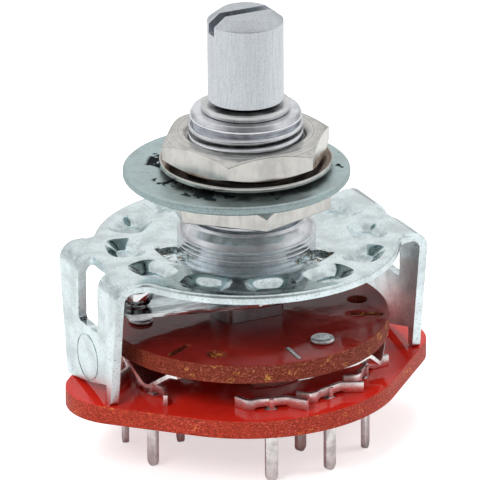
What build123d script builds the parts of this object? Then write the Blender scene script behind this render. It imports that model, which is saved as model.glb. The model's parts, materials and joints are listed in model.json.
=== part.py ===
from build123d import *

import math
import os

# Rotary pickup selector: three poles, three ways, open frame.
# All sizes in millimetres. Z runs up the shaft, X runs from leg to leg, and the
# origin is on the shaft's axis at the top face of the index plate.

OVER = 1.0                 # a cutting shape reaches this far past what it cuts

# ---- index plate: one stamping with two bent legs ----
SHEET = 0.7                # thickness of the zinc-plated sheet
PLATE_R = 12.08            # radius of the round plate
PLATE_EDGE_R = 0.28        # rolled upper edge of the plate
WELL_R = 6.9               # flat floor of the shallow well round the bushing
WELL_SLOPE = 0.8           # radial width of the well's sloping side
WELL_DEPTH = 0.25
LEG_BEYOND = 1.52          # outer face of a leg beyond the plate's rim
LEG_BEND = 1.5             # outside radius of the bend
LEG_ROOT_HALF = 5.45       # half width of a leg where it leaves the plate
LEG_FOOT_HALF = 4.0        # half width of a leg at its foot
LEG_SHIFT = 0.5            # the legs stand this far towards +Y
LEG_NECK_R = 1.2           # inside corner between a leg's root and the round plate
WINDOW_HALF = 1.75         # half width of the window in a leg
WINDOW_REACH = 1.25        # length of the window on the plate's face
WINDOW_BOTTOM = -5.15
WINDOW_CORNER = 0.35
HEEL_FLAT = 0.9            # part of the foot that rests on the stator wafer
TOE_WIDTH = 0.7            # narrow toe at the other corner of each leg
TOE_ROUND = 0.33
ARCH_RISE = 0.75           # height of the arch at its middle
ARCH_MIDDLE = 4.5          # from the heel's corner to the middle of the arch
ARCH_TOP = 1.55            # height of the arch where it meets the toe
BOSS_R = 1.95              # round coined mark low on the leg
BOSS_SHIFT = 0.15          # the mark's centre off the leg's middle
BOSS_Z = -7.8
BOSS_LINE = 0.16           # width and depth of the coined line
BOSS_LINE_DEPTH = 0.1

# ---- detent hollows ----
DETENTS = 12
DETENT_R = 9.7             # pitch radius of the hollows
DETENT_LONG = 3.6          # along the circle
DETENT_WIDE = 3.0          # along the radius
DETENT_FLOOR_LONG = 1.0
DETENT_FLOOR_WIDE = 1.1
DETENT_DEPTH = 0.5         # depth of the hollow in the top face
DETENT_BUMP = 0.4          # height of the bump below the plate
DETENT_RIM_ROUND = 1.1     # corner radius of the hollow's rim
DETENT_ROUND = 0.3         # corner radius of the hollow's floor

# ---- staking pockets round the bushing ----
POCKETS = 3
POCKET_R = 6.4
POCKET_WIDE = 2.0
POCKET_LONG = 3.3
POCKET_DEPTH = 0.3
POCKET_ROUND = 0.5

# ---- bushing ----
THREAD_R = 4.5             # M9 thread, crest radius
BUSHING_TOP = 11.0
BUSHING_BORE_R = 3.05
BUSHING_CHAMFER = 0.5
COLLAR_R = 5.47
COLLAR_TOP = 2.2
COLLAR_EDGE = 0.4
COLLAR_LINE = 0.08         # fine turned groove low on the collar
COLLAR_LINE_Z = 0.6
SPIGOT_R = 4.6             # part of the bushing inside the plate's hole
SPIGOT_GAP = 0.02
PEEN_R = 5.3               # turned-over rim below the plate
PEEN_HEIGHT = 0.35

# ---- nuts and washers ----
NUT_FLATS = 12.0           # across the flats
NUT_THICK = 2.2
NUT_BEARING_IN = 0.2       # the bearing face ends this far inside the flats
NUT_CHAMFER_SLOPE = 0.53   # rise of the chamfer for each millimetre of radius
NUT_BORE_GAP = 0.03
NUT_BLANK = 1.05           # radius of the turned blank to the hexagon's corners
NUT_SINK = 0.42            # countersink of the nut's bore
BACKING_NUT_Z = 3.2        # underside of the backing nut
BACKING_NUT_TURN = -102.5  # direction of one corner, degrees
PANEL_NUT_TURN = -127.5
WASHER_R = 8.95
WASHER_HOLE_R = 5.35
WASHER_THICK = 0.7
WASHER_SHIFT = (-0.68, 0.33)   # the loose washer lies off centre
WASHER_EDGE = 0.15
LOCK_BEYOND = 0.83         # rim of the lock washer beyond the nut's flats
LOCK_HOLE_R = 4.75
LOCK_THICK = 0.42
LOCK_DISH = 0.4            # rise of the rim over the inner edge
LOCK_GAP = 0.02

# ---- shaft and retaining ring ----
SHAFT_R = 3.0
SHAFT_TOP = 19.1
TIP_FACE_R = 2.03          # flat end face
TIP_HEIGHT = 0.75          # height of the tip chamfer
SLOT_WIDE = 0.95
SLOT_DEEP = 1.5
GROOVE_TOP = 11.9
GROOVE_R = 2.45
RING_R = 3.5
RING_HOLE_R = 2.5
RING_THICK = 0.56
RING_GAP = 0.03            # ring above the bushing's end face
RING_OPENING = 1.9         # half width of the ring's mouth
RING_TURN = 100.0          # direction of the ring's mouth, degrees
HUB_R = 2.9                # flatted hub that carries the detent spring
HUB_FLAT = 1.9             # axis to a flat
KEY_R = 2.4                # smaller flatted part that drives the disc
KEY_FLAT = 1.6
PILOT_R = 1.9              # plain lower end that runs in the stator wafer
PILOT_GAP = 0.06
PILOT_BELOW = 0.3          # how far the pilot shows below the wafer
KEY_GAP = 0.02

# ---- detent spring and balls ----
SPRING_THICK = 0.35
SPRING_MID_R = 4.4         # half width of the leaf round the hub
SPRING_END_R = 1.9         # rounded ends of the leaf
SPRING_GAP = 0.7           # leaf's ends to the inner face of a leg
SPRING_BEND = 1.3          # length of the ends that turn up
SPRING_BEND_R = 0.8
SPRING_LIFT = 0.4          # rise of the ends
BALL_R = 1.5
BALL_HOLE_R = 0.9
BALL_GAP = 0.04            # ball below the bumps of the index plate
BALL_SEAT = 0.01

# ---- rotor disc ----
DISC_BEYOND = 1.53         # the disc's rim beyond the contacts' circle
DISC_TOP = -6.2
DISC_THICK = 1.5
DISC_HOLE_R = 0.8          # three round tooling holes
DISC_HOLE_PITCH_R = 9.06
DISC_HOLE_TURN = 31.2      # from the wiper's tip, degrees

# ---- stator wafer ----
WAFER_BEYOND = 0.17        # the wafer's round sides beyond the plate's rim
WAFER_TOP = -10.45
WAFER_THICK = 1.5
EAR_BEYOND = 1.8           # how far the wafer reaches past the legs
EAR_R = 4.64               # radius of the wafer's rounded ends
WAFER_LINE = 0.05          # fine line round the edge, under the upper sheet
WAFER_LINE_DOWN = 0.45

# ---- poles, contacts and wipers ----
POLES = 3
WAYS = 3
WAY_STEP = 30.0            # degrees from one way to the next
FIRST_WAY = -45.0          # direction of the contact that the first wiper is on
PIN_TIP = -16.6
PIN_WIDE = 1.0
PIN_THICK = 0.45
PIN_ROUND = 0.44
PIN_SLOT_GAP = 0.03
CONTACT_IN = 2.53          # strips of the contacts in from the wafer's round sides
CONTACT_PIN_OUT = 0.13     # pins outside the strips
CONTACT_STRIP = 0.3
CONTACT_TALL = 0.9
CONTACT_BEND = 0.3
CONTACT_PATH = (           # kinks of the strip: outward of CONTACT_R, and along it
    (-0.85, -2.6),
    (0.33, -1.75),
    (0.0, -1.0),
    (0.0, 1.3),
    (1.1, 2.7),
)
CONTACT_ARCH = 0.35        # relief below the strip between its feet
CONTACT_ARCH_HALF = 1.5
PIN_NECK = 0.5             # width of the pin where it joins the strip
COMMON_R = 5.6
COMMON_SPAN = 37.0         # half the arc of a common contact, degrees
COMMON_PIN_TURN = 7.5      # pin off the middle of the arc, degrees
WIPER_LEAD = 2.8           # wiper's tip off the middle of the contact, degrees
WIPER_THICK = 0.3
WIPER_GAP = 0.01           # wiper below the disc
WIPER_LIFT = 0.05          # tip above the contact's edge
WIPER_BEND = 0.8
WIPER_END = 0.7            # flat length beyond each arm's dip
WIPER_IN = 1.42            # the outer arm reaches this far inside the contacts' circle
WIPER_OUT = 1.28           # and this far outside it
WIPER_INNER = (4.7, 6.3)       # radial reach of the inner arm
WIPER_HALF_OUTER = 2.4
WIPER_HALF_INNER = 1.9
WIPER_PAD_R = 1.6          # round pad of the wiper's web at the rivet
RIVET_PITCH_R = 8.6
RIVET_TURN = -30.3         # from the wiper's tip, degrees
RIVET_R = 0.6
RIVET_GAP = 0.02
RIVET_HEAD_R = 0.97
RIVET_HEAD = 0.38
RIVET_EDGE = 0.15
RIVET_PEEN_R = 0.9
RIVET_PEEN = 0.3
TAIL_TURN = -50.8          # slit that holds the wiper's tail, from its tip
TAIL_SPAN = (8.1, 10.6)
TAIL_BASE = 0.9            # length of the web's foot at the tail
HOOK_TURN = 12.2           # slot that holds the wiper's free end
HOOK_SPAN = (8.3, 10.6)
HOOK_LOW = 0.5             # the free end stops this far below the disc's top
HOOK_WIDE = 0.52           # width of the slot round the free end
SLIT_GAP = 0.05

# ---- derived places ----
LEG_REACH = PLATE_R + LEG_BEYOND       # shaft axis to the outer face of a leg
LEG_INNER = LEG_REACH - SHEET
SPRING_R = LEG_INNER - SPRING_GAP
NUT_BEARING_R = NUT_FLATS / 2 - NUT_BEARING_IN
LOCK_R = NUT_FLATS / 2 + LOCK_BEYOND
WAFER_R = PLATE_R + WAFER_BEYOND
CONTACT_R = WAFER_R - CONTACT_IN
CONTACT_PIN_R = CONTACT_R + CONTACT_PIN_OUT
DISC_R = CONTACT_R + DISC_BEYOND
WIPER_OUTER = (CONTACT_R - WIPER_IN, CONTACT_R + WIPER_OUT)    # outer arm's reach
EAR_REACH = LEG_REACH + EAR_BEYOND
WELL_FLOOR = -WELL_DEPTH
DETENT_BOTTOM = -SHEET - DETENT_BUMP
NUT_SEAT = BACKING_NUT_Z + NUT_THICK
WASHER_TOP = NUT_SEAT + WASHER_THICK
LOCK_SEAT_TOP = WASHER_TOP + LOCK_THICK + LOCK_DISH
PANEL_NUT_Z = LOCK_SEAT_TOP + LOCK_GAP
RING_Z = BUSHING_TOP + RING_GAP
GROOVE_BOTTOM = BUSHING_TOP + RING_GAP / 2
BALL_Z = DETENT_BOTTOM - BALL_GAP - BALL_R
SPRING_TOP = BALL_Z - math.sqrt(BALL_R**2 - BALL_HOLE_R**2) - BALL_SEAT
SPRING_MID = SPRING_TOP - SPRING_THICK / 2
DISC_BOTTOM = DISC_TOP - DISC_THICK
WAFER_BOTTOM = WAFER_TOP - WAFER_THICK
CONTACT_TOP = WAFER_TOP + CONTACT_TALL
WIPER_MID = DISC_BOTTOM - WIPER_GAP - WIPER_THICK / 2
POLE_STEP = 360.0 / POLES
DETENT_STEP = 360.0 / DETENTS


def turned(shape, degrees):
    """Turn a shape about the shaft's axis."""
    return Rot(0, 0, degrees) * shape


def ring(outer, inner, low, high):
    """A plain ring or, with inner 0, a disc between two heights."""
    body = Pos(0, 0, low) * extrude(Circle(outer), high - low)
    if inner > 0:
        body -= Pos(0, 0, low - OVER) * extrude(Circle(inner), high - low + 2 * OVER)
    return body


def turned_profile(points):
    """Revolve a closed outline of (radius, height) points about the axis."""
    outline = make_face(Polyline(*points, close=True))
    return revolve(Plane.XZ * outline, Axis.Z, 360)


def double_flat(radius, flat, low, high):
    """A round bar with two flats that face +Y and -Y."""
    section = Circle(radius) & Rectangle(2 * radius, 2 * flat)
    return Pos(0, 0, low) * extrude(section, high - low)


def bent_strip(points, radius, thick):
    """Section of a bent strip from the corner points of its middle line."""
    return trace(FilletPolyline(*points, radius=radius), line_width=thick)


# ---- index plate ----
def leg_body():
    """One leg on the +X side: the bent sheet cut to its tapered outline."""
    middle = LEG_REACH - SHEET / 2
    root = LEG_REACH - LEG_BEND - SHEET
    path = [(root, -SHEET / 2), (middle, -SHEET / 2), (middle, WAFER_TOP - OVER)]
    section = bent_strip(path, LEG_BEND - SHEET / 2, SHEET)
    sheet = Pos(0, LEG_SHIFT, 0) * extrude(Plane.XZ * section, LEG_ROOT_HALF, both=True)
    front, rear = LEG_SHIFT - LEG_FOOT_HALF, LEG_SHIFT + LEG_FOOT_HALF
    blank = Polyline(
        (LEG_SHIFT - LEG_ROOT_HALF, OVER),
        (LEG_SHIFT - LEG_ROOT_HALF, 0),
        (front, WAFER_TOP),
        (front + TOE_WIDTH, WAFER_TOP),
        (front + TOE_WIDTH, WAFER_TOP + ARCH_TOP),
        (rear - ARCH_MIDDLE, WAFER_TOP + ARCH_RISE),
        (rear - HEEL_FLAT, WAFER_TOP),
        (rear, WAFER_TOP),
        (LEG_SHIFT + LEG_ROOT_HALF, 0),
        (LEG_SHIFT + LEG_ROOT_HALF, OVER),
        close=True,
    )
    outline = make_face(blank)
    tips = outline.vertices().filter_by(
        lambda v: abs(v.Y - WAFER_TOP) < 0.01 and v.X < front + TOE_WIDTH + 0.01
    )
    outline = fillet(tips, TOE_ROUND)
    leg = sheet & (Plane.YZ * extrude(outline, LEG_REACH + OVER))
    tall = OVER - WINDOW_BOTTOM
    window = Pos(LEG_REACH, LEG_SHIFT, OVER - tall / 2) * Box(
        2 * WINDOW_REACH, 2 * WINDOW_HALF, tall
    )
    window = fillet(window.edges().filter_by(Axis.X).group_by(Axis.Z)[0], WINDOW_CORNER)
    window = fillet(window.edges().filter_by(Axis.Z).group_by(Axis.X)[0], WINDOW_CORNER)
    line = Circle(BOSS_R) - Circle(BOSS_R - BOSS_LINE)
    mark = Plane.YZ * (Pos(LEG_SHIFT + BOSS_SHIFT, BOSS_Z) * line)
    mark = Pos(LEG_REACH - BOSS_LINE_DEPTH, 0, 0) * extrude(mark, OVER)
    return leg - window - mark


def detent_punch(grow, top, bottom):
    """The punch for one hollow: a rounded pyramid between two heights."""
    upper = RectangleRounded(DETENT_WIDE + grow, DETENT_LONG + grow, DETENT_RIM_ROUND)
    lower = RectangleRounded(
        DETENT_FLOOR_WIDE + grow, DETENT_FLOOR_LONG + grow, DETENT_ROUND
    )
    return Pos(DETENT_R, 0, 0) * loft([Pos(0, 0, top) * upper, Pos(0, 0, bottom) * lower])


def plate_outline():
    """The round plate with the flat roots of both legs, seen from above."""
    root = Pos(0, LEG_SHIFT) * Rectangle(2 * (LEG_REACH - LEG_BEND), 2 * LEG_ROOT_HALF)
    outline = Circle(PLATE_R) + root
    necks = outline.vertices().filter_by(
        lambda v: abs(math.hypot(v.X, v.Y) - PLATE_R) < 0.01
    )
    return fillet(necks, LEG_NECK_R)


def index_plate():
    slope_end = WELL_R + WELL_SLOPE
    hole = SPIGOT_R + SPIGOT_GAP
    plate = Pos(0, 0, -SHEET) * extrude(plate_outline(), SHEET)
    rim = plate.edges().group_by(Axis.Z)[-1].filter_by(GeomType.CIRCLE)
    plate = fillet(rim, PLATE_EDGE_R)
    plate -= ring(slope_end, 0, -2 * SHEET, SHEET)
    plate += turned_profile([
        (hole, WELL_FLOOR),
        (WELL_R, WELL_FLOOR),
        (slope_end, 0),
        (slope_end, -SHEET),
        (WELL_R, WELL_FLOOR - SHEET),
        (hole, WELL_FLOOR - SHEET),
    ])
    leg = leg_body()
    plate += leg + mirror(leg, Plane.YZ)
    hollow = detent_punch(0, 0, -DETENT_DEPTH)
    bump = detent_punch(SHEET * 0.4, -SHEET, DETENT_BOTTOM)
    for k in range(DETENTS):
        plate += turned(bump, (k + 0.5) * DETENT_STEP)
    for k in range(DETENTS):
        plate -= turned(hollow, (k + 0.5) * DETENT_STEP)
    pocket = RectangleRounded(POCKET_WIDE, POCKET_LONG, POCKET_ROUND)
    pocket = Pos(POCKET_R, 0, WELL_FLOOR - POCKET_DEPTH) * extrude(pocket, OVER)
    for k in range(POCKETS):
        plate -= turned(pocket, 60 + k * 360 / POCKETS)
    return plate


# ---- bushing, nuts and washers ----
def bushing():
    under = WELL_FLOOR - SHEET
    return turned_profile([
        (BUSHING_BORE_R, BUSHING_TOP),
        (THREAD_R - BUSHING_CHAMFER, BUSHING_TOP),
        (THREAD_R, BUSHING_TOP - BUSHING_CHAMFER),
        (THREAD_R, COLLAR_TOP),
        (COLLAR_R - COLLAR_EDGE, COLLAR_TOP),
        (COLLAR_R, COLLAR_TOP - COLLAR_EDGE),
        (COLLAR_R, COLLAR_LINE_Z + COLLAR_LINE),
        (COLLAR_R - COLLAR_LINE, COLLAR_LINE_Z),
        (COLLAR_R, COLLAR_LINE_Z - COLLAR_LINE),
        (COLLAR_R, WELL_FLOOR),
        (SPIGOT_R, WELL_FLOOR),
        (SPIGOT_R, under),
        (PEEN_R, under),
        (PEEN_R - PEEN_HEIGHT / 2, under - PEEN_HEIGHT),
        (BUSHING_BORE_R, under - PEEN_HEIGHT),
    ])


def nut(low, turn, chamfer_below):
    """A thin hexagon nut with its corners turned off by a cone."""
    corner = NUT_BLANK * NUT_FLATS / math.sqrt(3)
    drop = (corner - NUT_BEARING_R) * NUT_CHAMFER_SLOPE
    high = low + NUT_THICK
    foot = [(0, low), (NUT_BEARING_R, low), (corner, low + drop)]
    if not chamfer_below:
        foot = [(0, low), (corner, low)]
    cone = turned_profile(foot + [(corner, high - drop), (NUT_BEARING_R, high), (0, high)])
    hexagon = RegularPolygon(NUT_FLATS / 2, 6, major_radius=False)
    body = turned(Pos(0, 0, low) * extrude(hexagon, NUT_THICK), turn) & cone
    bore = THREAD_R + NUT_BORE_GAP
    tool = turned_profile([
        (0, low - 0.1),
        (bore + NUT_SINK, low - 0.1),
        (bore + NUT_SINK, low),
        (bore, low + NUT_SINK),
        (bore, high - NUT_SINK),
        (bore + NUT_SINK, high),
        (bore + NUT_SINK, high + 0.1),
        (0, high + 0.1),
    ])
    return body - tool


def flat_washer():
    washer = ring(WASHER_R, WASHER_HOLE_R, NUT_SEAT, WASHER_TOP)
    rims = washer.edges().filter_by(GeomType.CIRCLE).sort_by(SortBy.RADIUS)[-2:]
    washer = chamfer(rims, WASHER_EDGE)
    return Pos(*WASHER_SHIFT, 0) * washer


def lock_washer():
    return turned_profile([
        (LOCK_HOLE_R, WASHER_TOP),
        (LOCK_R, WASHER_TOP + LOCK_DISH),
        (LOCK_R, WASHER_TOP + LOCK_DISH + LOCK_THICK),
        (LOCK_HOLE_R, WASHER_TOP + LOCK_THICK),
    ])


# ---- shaft group ----
def shaft():
    body = turned_profile([
        (0, SHAFT_TOP),
        (TIP_FACE_R, SHAFT_TOP),
        (SHAFT_R, SHAFT_TOP - TIP_HEIGHT),
        (SHAFT_R, GROOVE_TOP),
        (GROOVE_R, GROOVE_TOP),
        (GROOVE_R, GROOVE_BOTTOM),
        (SHAFT_R, GROOVE_BOTTOM),
        (SHAFT_R, SPRING_TOP),
        (0, SPRING_TOP),
    ])
    slot = Pos(0, 0, SHAFT_TOP - SLOT_DEEP / 2) * Box(3 * SHAFT_R, SLOT_WIDE, SLOT_DEEP)
    body -= slot
    body += double_flat(HUB_R, HUB_FLAT, DISC_TOP, SPRING_TOP)
    body += double_flat(KEY_R, KEY_FLAT, DISC_BOTTOM, DISC_TOP)
    body += ring(PILOT_R, 0, WAFER_BOTTOM - PILOT_BELOW, DISC_BOTTOM)
    return body


def retaining_ring():
    body = ring(RING_R, RING_HOLE_R, RING_Z, RING_Z + RING_THICK)
    mouth = Box(2 * RING_R, 2 * RING_OPENING, 2 * (RING_THICK + OVER))
    mouth = Pos(RING_R, 0, RING_Z) * mouth
    return turned(body - mouth, RING_TURN)


def detent_spring():
    bend = SPRING_R - SPRING_BEND
    path = [
        (-SPRING_R, SPRING_MID + SPRING_LIFT),
        (-bend, SPRING_MID),
        (bend, SPRING_MID),
        (SPRING_R, SPRING_MID + SPRING_LIFT),
    ]
    section = bent_strip(path, SPRING_BEND_R, SPRING_THICK)
    leaf = extrude(Plane.XZ * section, SPRING_MID_R, both=True)
    edges = Circle(SPRING_MID_R).edges()
    for side in (-1, 1):
        edges += (Pos(side * (SPRING_R - SPRING_END_R), 0) * Circle(SPRING_END_R)).edges()
    low = SPRING_TOP - SPRING_THICK - OVER
    high = SPRING_TOP + SPRING_LIFT + OVER
    leaf &= Pos(0, 0, low) * extrude(make_hull(edges), high - low)
    leaf -= double_flat(HUB_R + KEY_GAP, HUB_FLAT + KEY_GAP, low, high)
    for side in (-1, 1):
        leaf -= Pos(side * DETENT_R, 0, 0) * ring(BALL_HOLE_R, 0, low, high)
    return leaf


def detent_ball(side):
    return Pos(side * DETENT_R, 0, BALL_Z) * Sphere(BALL_R)


def radial_slit(span, turn, gap, low, high):
    """A thin upright blade along a radius, as a tab or as the slit for one."""
    reach = span[1] - span[0] + 2 * gap
    blade = Box(reach, WIPER_THICK + 2 * gap, high - low)
    return turned(Pos((span[0] + span[1]) / 2, 0, (low + high) / 2) * blade, turn)


def hook_slot(low, high):
    """The round-ended slot that the wiper's free end moves in."""
    gap = (HOOK_WIDE - WIPER_THICK) / 2
    slot = SlotOverall(HOOK_SPAN[1] - HOOK_SPAN[0] + 4 * gap, HOOK_WIDE)
    slot = Pos((HOOK_SPAN[0] + HOOK_SPAN[1]) / 2, 0, low) * extrude(slot, high - low)
    return turned(slot, HOOK_TURN)


def rivet_place(shape):
    return turned(Pos(RIVET_PITCH_R, 0, 0) * shape, RIVET_TURN)


def rotor_disc():
    disc = ring(DISC_R, 0, DISC_BOTTOM, DISC_TOP)
    low, high = DISC_BOTTOM - OVER, DISC_TOP + OVER
    disc -= double_flat(KEY_R + KEY_GAP, KEY_FLAT + KEY_GAP, low, high)
    cuts = [
        rivet_place(ring(RIVET_R + RIVET_GAP, 0, low, high)),
        turned(Pos(DISC_HOLE_PITCH_R, 0, 0) * ring(DISC_HOLE_R, 0, low, high), DISC_HOLE_TURN),
        radial_slit(TAIL_SPAN, TAIL_TURN, SLIT_GAP, low, high),
        hook_slot(low, high),
    ]
    for pole in range(POLES):
        for cut in cuts:
            disc -= turned(cut, wiper_turn(pole))
    return disc


def dip_corner(tip, half):
    """Height of the sharp corner whose rounding just reaches the tip."""
    corner = tip
    for _ in range(6):
        slope = math.atan2(WIPER_MID - corner, half)
        corner = tip - WIPER_BEND * (1 / math.cos(slope) - 1)
    return corner


def wiper():
    """One spring wiper with its tip towards +X; it hangs under the disc."""
    tip_mid = CONTACT_TOP + WIPER_LIFT + WIPER_THICK / 2
    low = WIPER_MID - WIPER_THICK / 2
    body = Part()
    feet = []
    for (inner, outer), half in (
        (WIPER_OUTER, WIPER_HALF_OUTER),
        (WIPER_INNER, WIPER_HALF_INNER),
    ):
        end = half + WIPER_END
        path = [(-end, WIPER_MID), (-half, WIPER_MID), (0, dip_corner(tip_mid, half)),
                (half, WIPER_MID), (end, WIPER_MID)]
        section = bent_strip(path, WIPER_BEND, WIPER_THICK)
        body += Pos(inner, 0, 0) * extrude(Plane.YZ * section, outer - inner)
        foot = Rectangle(outer - inner, WIPER_END / 2)
        feet += (Pos((inner + outer) / 2, -end + WIPER_END / 4) * foot).edges()
    pad = turned(Pos(RIVET_PITCH_R, 0) * Circle(WIPER_PAD_R), RIVET_TURN)
    tail_middle = (TAIL_SPAN[0] + TAIL_SPAN[1]) / 2
    tail = Rectangle(TAIL_SPAN[1] - TAIL_SPAN[0], TAIL_BASE)
    tail = turned(Pos(tail_middle, (TAIL_BASE - WIPER_THICK) / 2) * tail, TAIL_TURN)
    web = make_hull(feet + pad.edges() + tail.edges())
    body += Pos(0, 0, low) * extrude(web, WIPER_THICK)
    body += radial_slit(TAIL_SPAN, TAIL_TURN, 0, low, DISC_TOP)
    body += radial_slit(HOOK_SPAN, HOOK_TURN, 0, low, DISC_TOP - HOOK_LOW)
    body &= ring(WIPER_OUTER[1], 0, WAFER_TOP, DISC_TOP)
    body -= rivet_place(ring(RIVET_R + RIVET_GAP, 0, low - OVER, DISC_TOP))
    return body


def rivet():
    low = WIPER_MID - WIPER_THICK / 2
    body = turned_profile([
        (0, DISC_TOP + RIVET_HEAD),
        (RIVET_HEAD_R - RIVET_EDGE, DISC_TOP + RIVET_HEAD),
        (RIVET_HEAD_R, DISC_TOP + RIVET_HEAD - RIVET_EDGE),
        (RIVET_HEAD_R, DISC_TOP),
        (RIVET_R, DISC_TOP),
        (RIVET_R, low),
        (RIVET_PEEN_R, low),
        (RIVET_PEEN_R - RIVET_EDGE, low - RIVET_PEEN),
        (0, low - RIVET_PEEN),
    ])
    return rivet_place(body)


# ---- stator ----
def pin(radius):
    """A flat solder pin with a rounded tip and a narrow neck up to the contact's edge."""
    height = WAFER_TOP - PIN_TIP
    blade = Pos(0, PIN_TIP + height / 2) * Rectangle(PIN_WIDE, height)
    blade = fillet(blade.vertices().group_by(Axis.Y)[0], PIN_ROUND)
    blade += Pos(0, WAFER_TOP + CONTACT_TALL / 2) * Rectangle(PIN_NECK, CONTACT_TALL)
    return Pos(radius, 0, 0) * extrude(Plane.YZ * blade, PIN_THICK / 2, both=True)


def contact():
    """A fixed contact: a kinked strip on edge with its pin below."""
    path = [(CONTACT_R + out, along) for out, along in CONTACT_PATH]
    strip = bent_strip(path, CONTACT_BEND, CONTACT_STRIP)
    body = Pos(0, 0, WAFER_TOP) * extrude(strip, CONTACT_TALL)
    arch = Box(4 * CONTACT_STRIP, 2 * CONTACT_ARCH_HALF, 2 * CONTACT_ARCH)
    arch = fillet(arch.edges().filter_by(Axis.X).group_by(Axis.Z)[-1], CONTACT_ARCH / 2)
    body -= Pos(CONTACT_R, 0, WAFER_TOP) * arch
    return body + pin(CONTACT_PIN_R)


def common():
    """A common contact: an arc on edge that the wiper's inner arm follows."""
    band = Circle(COMMON_R + CONTACT_STRIP / 2) - Circle(COMMON_R - CONTACT_STRIP / 2)
    reach = 2 * COMMON_R
    edge = reach * math.tan(math.radians(COMMON_SPAN))
    wedge = make_face(Polyline((0, 0), (reach, -edge), (reach, edge), close=True))
    arc = Pos(0, 0, WAFER_TOP) * extrude(band & wedge, CONTACT_TALL)
    return arc + turned(pin(COMMON_R), COMMON_PIN_TURN)


def way_turn(pole, way):
    """Direction of a fixed contact, degrees."""
    return FIRST_WAY + pole * POLE_STEP - way * WAY_STEP


def wiper_turn(pole):
    """Direction of a wiper's tip with the shaft at its first way, degrees."""
    return FIRST_WAY + WIPER_LEAD + pole * POLE_STEP


def common_turn(pole):
    """Direction of the middle of a common contact, degrees."""
    return FIRST_WAY + pole * POLE_STEP - (WAYS - 1) / 2 * WAY_STEP


def stator_wafer():
    edges = Circle(WAFER_R).edges()
    for side in (-1, 1):
        edges += (Pos(side * (EAR_REACH - EAR_R), 0) * Circle(EAR_R)).edges()
    outline = make_hull(edges)
    board = Pos(0, 0, WAFER_BOTTOM) * extrude(outline, WAFER_THICK)
    line = offset(outline, WAFER_LINE) - offset(outline, -WAFER_LINE)
    board -= Pos(0, 0, WAFER_TOP - WAFER_LINE_DOWN) * extrude(line, WAFER_LINE / 2, both=True)
    board -= ring(PILOT_R + PILOT_GAP, 0, WAFER_BOTTOM - OVER, WAFER_TOP + OVER)
    slot = Box(PIN_THICK + 2 * PIN_SLOT_GAP, PIN_WIDE + 2 * PIN_SLOT_GAP, 3 * WAFER_THICK)
    for pole in range(POLES):
        middle = common_turn(pole) + COMMON_PIN_TURN
        board -= turned(Pos(COMMON_R, 0, WAFER_TOP) * slot, middle)
        for way in range(WAYS):
            board -= turned(Pos(CONTACT_PIN_R, 0, WAFER_TOP) * slot, way_turn(pole, way))
    return board


def all_parts():
    """Every sub-part by name."""
    parts = {
        "index_plate": index_plate(),
        "bushing": bushing(),
        "backing_nut": nut(BACKING_NUT_Z, BACKING_NUT_TURN, False),
        "flat_washer": flat_washer(),
        "lock_washer": lock_washer(),
        "panel_nut": nut(PANEL_NUT_Z, PANEL_NUT_TURN, True),
        "shaft": shaft(),
        "retaining_ring": retaining_ring(),
        "detent_spring": detent_spring(),
        "detent_ball_1": detent_ball(1),
        "detent_ball_2": detent_ball(-1),
        "rotor_disc": rotor_disc(),
        "stator_wafer": stator_wafer(),
    }
    for pole in range(POLES):
        parts[f"wiper_{pole + 1}"] = turned(wiper(), wiper_turn(pole))
        parts[f"rivet_{pole + 1}"] = turned(rivet(), wiper_turn(pole))
        parts[f"common_{pole + 1}"] = turned(common(), common_turn(pole))
        for way in range(WAYS):
            name = f"contact_{pole + 1}_{way + 1}"
            parts[name] = turned(contact(), way_turn(pole, way))
    return parts


os.makedirs("parts", exist_ok=True)
for name, shape in all_parts().items():
    shape.label = name
    export_step(shape, f"parts/{name}.step")
    print(name, round(shape.volume, 3))
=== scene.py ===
# %% [markdown]
# # A rotary selector switch, finished in Blender
# The CAD model of the switch is already in place, in metres, with its shaft along Z. This
# lesson gives each piece the finish that the real switch has: bright zinc, turned and brushed
# metal, glossy phenolic board and silvered contacts. It also builds the finer shapes that a
# machinist or a press leaves behind: a screw thread, broken edges, bent contacts and rivets.

# %% Load the fixed frame
import json
import math

import bmesh
import bpy
from mathutils import Matrix, Vector


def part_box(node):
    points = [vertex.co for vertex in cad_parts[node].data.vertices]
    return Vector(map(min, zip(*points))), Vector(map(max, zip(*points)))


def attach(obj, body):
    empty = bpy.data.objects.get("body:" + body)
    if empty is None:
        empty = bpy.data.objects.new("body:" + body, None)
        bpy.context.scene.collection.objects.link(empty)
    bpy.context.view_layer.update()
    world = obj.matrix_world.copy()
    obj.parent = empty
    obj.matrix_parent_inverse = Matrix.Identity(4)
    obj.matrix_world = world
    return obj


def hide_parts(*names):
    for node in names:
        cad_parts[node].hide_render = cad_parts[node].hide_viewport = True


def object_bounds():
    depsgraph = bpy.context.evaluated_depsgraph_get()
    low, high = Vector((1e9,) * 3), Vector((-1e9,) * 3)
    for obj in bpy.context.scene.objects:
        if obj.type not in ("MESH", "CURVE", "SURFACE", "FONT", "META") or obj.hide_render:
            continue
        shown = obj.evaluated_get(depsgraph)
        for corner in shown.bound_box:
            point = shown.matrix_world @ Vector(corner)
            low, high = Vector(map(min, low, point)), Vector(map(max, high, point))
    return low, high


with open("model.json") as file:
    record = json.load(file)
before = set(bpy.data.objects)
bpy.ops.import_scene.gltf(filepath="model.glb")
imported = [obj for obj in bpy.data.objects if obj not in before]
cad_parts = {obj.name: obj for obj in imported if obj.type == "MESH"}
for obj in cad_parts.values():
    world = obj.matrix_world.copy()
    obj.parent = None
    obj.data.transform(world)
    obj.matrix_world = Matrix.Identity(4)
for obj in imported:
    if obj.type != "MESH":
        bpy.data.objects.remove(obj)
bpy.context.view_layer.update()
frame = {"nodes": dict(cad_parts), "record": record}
MM = 0.001
scene = bpy.context.scene

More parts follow.
